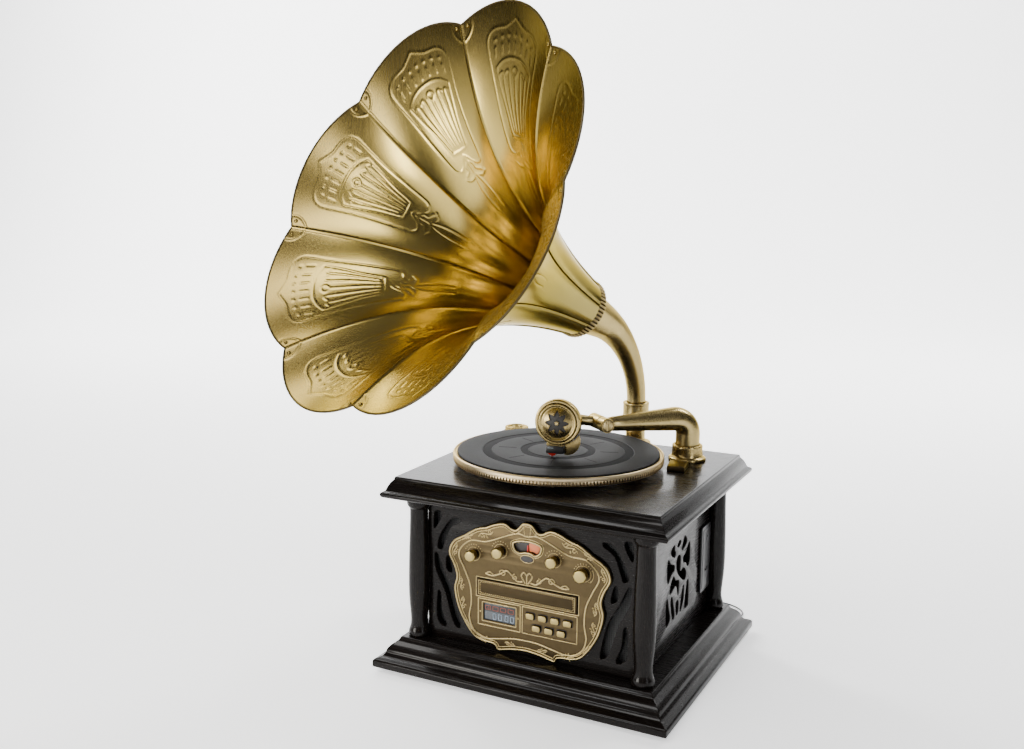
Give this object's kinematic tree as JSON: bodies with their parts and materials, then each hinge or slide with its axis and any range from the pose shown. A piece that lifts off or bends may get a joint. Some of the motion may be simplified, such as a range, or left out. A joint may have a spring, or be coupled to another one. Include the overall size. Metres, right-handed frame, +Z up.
{
  "type": "horn phonograph",
  "caption": "Tabletop phonograph: square moulded wooden cabinet with radio front and disc tray, turntable, brass tonearm with soundbox head, and petalled brass horn on a bent neck.",
  "frame": {"origin": "on the floor under the middle of the box round the whole object without its aerial wire; the cabinet stands to the right and behind it because the horn reaches out to the left front", "axes": "+X to the object's right as seen from the front, +Y to its back, +Z up; the control front faces -Y"},
  "size_m": [0.6126, 0.6875, 0.9102],
  "materials": {
    "ebony": "near-black satin lacquer over fine grain",
    "brass": "antique brushed brass",
    "horn_brass": "antique brass, brushed, olive towards the rim",
    "bronze": "dark antique bronze with lighter raised lines",
    "button_brass": "pale yellow satin brass",
    "steel": "turned steel",
    "rubber": "black rubber",
    "mat": "dark grey moulded mat",
    "grille": "black perforated liner",
    "plastic": "black",
    "red": "red",
    "screen": "grey-blue liquid crystal window",
    "board": "green circuit board",
    "rim": "gold anodised",
    "wire": "black insulation"
  },
  "bodies": {
    "cabinet": {"base_plinth": "ebony", "top_slab": "ebony", "front_panel": "ebony", "rear_panel": "ebony", "left_panel": "ebony", "right_panel": "ebony", "column_front_left": "ebony", "column_front_right": "ebony", "column_rear_left": "ebony", "column_rear_right": "ebony", "foot_front_left": "rubber", "foot_front_right": "rubber", "foot_rear_left": "rubber", "foot_rear_right": "rubber", "grille_liner": "grille", "speaker_left": "plastic", "speaker_right": "plastic", "faceplate": "bronze", "display_screen": "screen", "circuit_board": "board", "usb_plate": "bronze", "bearing_housing": "steel", "motor": "steel", "drive_belt": "rubber", "tonearm_base": "brass", "horn_post": "brass", "aerial_gland": "plastic", "aerial_wire": "wire", "aerial_coil": "wire"},
    "turntable": {"platter": "rim", "slipmat": "mat", "spindle": "steel"},
    "pulley": {"motor_pulley": "steel"},
    "tonearm": {"tonearm_tube": "brass", "pivot_block": "brass", "pivot_screw": "brass"},
    "head": {"gooseneck": "brass", "soundbox_body": "brass", "soundbox_cover": "brass", "cartridge": "plastic", "stylus": "red", "finger_lift": "brass"},
    "horn": {"horn_bell": "horn_brass", "horn_ring": "brass", "horn_elbow": "horn_brass"},
    "adapter": {"adapter_45": "brass"},
    "lift": {"lift_lever": "brass"},
    "disc_tray": {"cd_tray": "bronze"},
    "dial_needle": {"dial_pointer": "red"},
    "knob_volume_body": {"knob_volume": "button_brass"},
    "knob_source_body": {"knob_source": "button_brass"},
    "knob_band_body": {"knob_band": "button_brass"},
    "knob_tuning_body": {"knob_tuning": "button_brass"},
    "button_1_body": {"button_1": "button_brass"},
    "button_2_body": {"button_2": "button_brass"},
    "button_3_body": {"button_3": "button_brass"},
    "button_4_body": {"button_4": "button_brass"},
    "button_5_body": {"button_5": "button_brass"},
    "button_6_body": {"button_6": "button_brass"},
    "button_7_body": {"button_7": "button_brass"}
  },
  "joints": [
    {"name": "platter_spin", "type": "hinge", "parent": "cabinet", "child": "turntable", "pos_m": [0.06853, 0.08805, 0.29], "axis": [0, 0, 1], "continuous": true},
    {"name": "pulley_spin", "type": "hinge", "parent": "cabinet", "child": "pulley", "pos_m": [-0.00571, 0.0138, 0.29], "axis": [0, 0, 1], "continuous": true},
    {"name": "tonearm_swing", "type": "hinge", "parent": "cabinet", "child": "tonearm", "pos_m": [0.22163, 0.20795, 0.3], "axis": [0, 0, 1], "range_deg": [-2, 42]},
    {"name": "head_lift", "type": "hinge", "parent": "tonearm", "child": "head", "pos_m": [0.13175, 0.10455, 0.3445], "axis": [-0.7547, 0.6561, 0], "range_deg": [0, 45]},
    {"name": "horn_swivel", "type": "hinge", "parent": "cabinet", "child": "horn", "pos_m": [0.12023, 0.26515, 0.339], "axis": [0, 0, 1], "range_deg": [-120, 120]},
    {"name": "disc_tray_slide", "type": "slide", "parent": "cabinet", "child": "disc_tray", "axis": [0, -1, 0], "range_m": [0, 0.125]},
    {"name": "dial_needle_slide", "type": "slide", "parent": "cabinet", "child": "dial_needle", "axis": [1, 0, 0], "range_m": [-0.013, 0.013]},
    {"name": "adapter_lift_off", "type": "slide", "parent": "cabinet", "child": "adapter", "axis": [0, 0, 1], "range_m": [0, 0.025]},
    {"name": "lift_lever_hinge", "type": "hinge", "parent": "cabinet", "child": "lift", "pos_m": [0.22483, 0.16515, 0.2823], "axis": [-0.9907, -0.1357, 0], "range_deg": [0, 20]},
    {"name": "knob_volume_turn", "type": "hinge", "parent": "cabinet", "child": "knob_volume_body", "pos_m": [0.00983, -0.05435, 0.1815], "axis": [0, 1, 0], "range_deg": [-150, 150]},
    {"name": "knob_source_turn", "type": "hinge", "parent": "cabinet", "child": "knob_source_body", "pos_m": [0.05073, -0.05435, 0.192], "axis": [0, 1, 0], "range_deg": [-150, 150]},
    {"name": "knob_band_turn", "type": "hinge", "parent": "cabinet", "child": "knob_band_body", "pos_m": [0.12993, -0.05435, 0.192], "axis": [0, 1, 0], "range_deg": [-150, 150]},
    {"name": "knob_tuning_turn", "type": "hinge", "parent": "cabinet", "child": "knob_tuning_body", "pos_m": [0.17133, -0.05435, 0.181], "axis": [0, 1, 0], "range_deg": [-150, 150]},
    {"name": "button_1_press", "type": "slide", "parent": "cabinet", "child": "button_1_body", "axis": [0, 1, 0], "range_m": [0, 0.0012], "stiffness_N_per_m": 400},
    {"name": "button_2_press", "type": "slide", "parent": "cabinet", "child": "button_2_body", "axis": [0, 1, 0], "range_m": [0, 0.0012], "stiffness_N_per_m": 400},
    {"name": "button_3_press", "type": "slide", "parent": "cabinet", "child": "button_3_body", "axis": [0, 1, 0], "range_m": [0, 0.0012], "stiffness_N_per_m": 400},
    {"name": "button_4_press", "type": "slide", "parent": "cabinet", "child": "button_4_body", "axis": [0, 1, 0], "range_m": [0, 0.0012], "stiffness_N_per_m": 400},
    {"name": "button_5_press", "type": "slide", "parent": "cabinet", "child": "button_5_body", "axis": [0, 1, 0], "range_m": [0, 0.0012], "stiffness_N_per_m": 400},
    {"name": "button_6_press", "type": "slide", "parent": "cabinet", "child": "button_6_body", "axis": [0, 1, 0], "range_m": [0, 0.0012], "stiffness_N_per_m": 400},
    {"name": "button_7_press", "type": "slide", "parent": "cabinet", "child": "button_7_body", "axis": [0, 1, 0], "range_m": [0, 0.0012], "stiffness_N_per_m": 400}
  ],
  "couplings": [
    {"joint": "pulley_spin", "follows": "platter_spin", "ratio": 9.24},
    {"joint": "dial_needle_slide", "follows": "knob_tuning_turn", "m_per_rad": 0.00495}
  ]
}
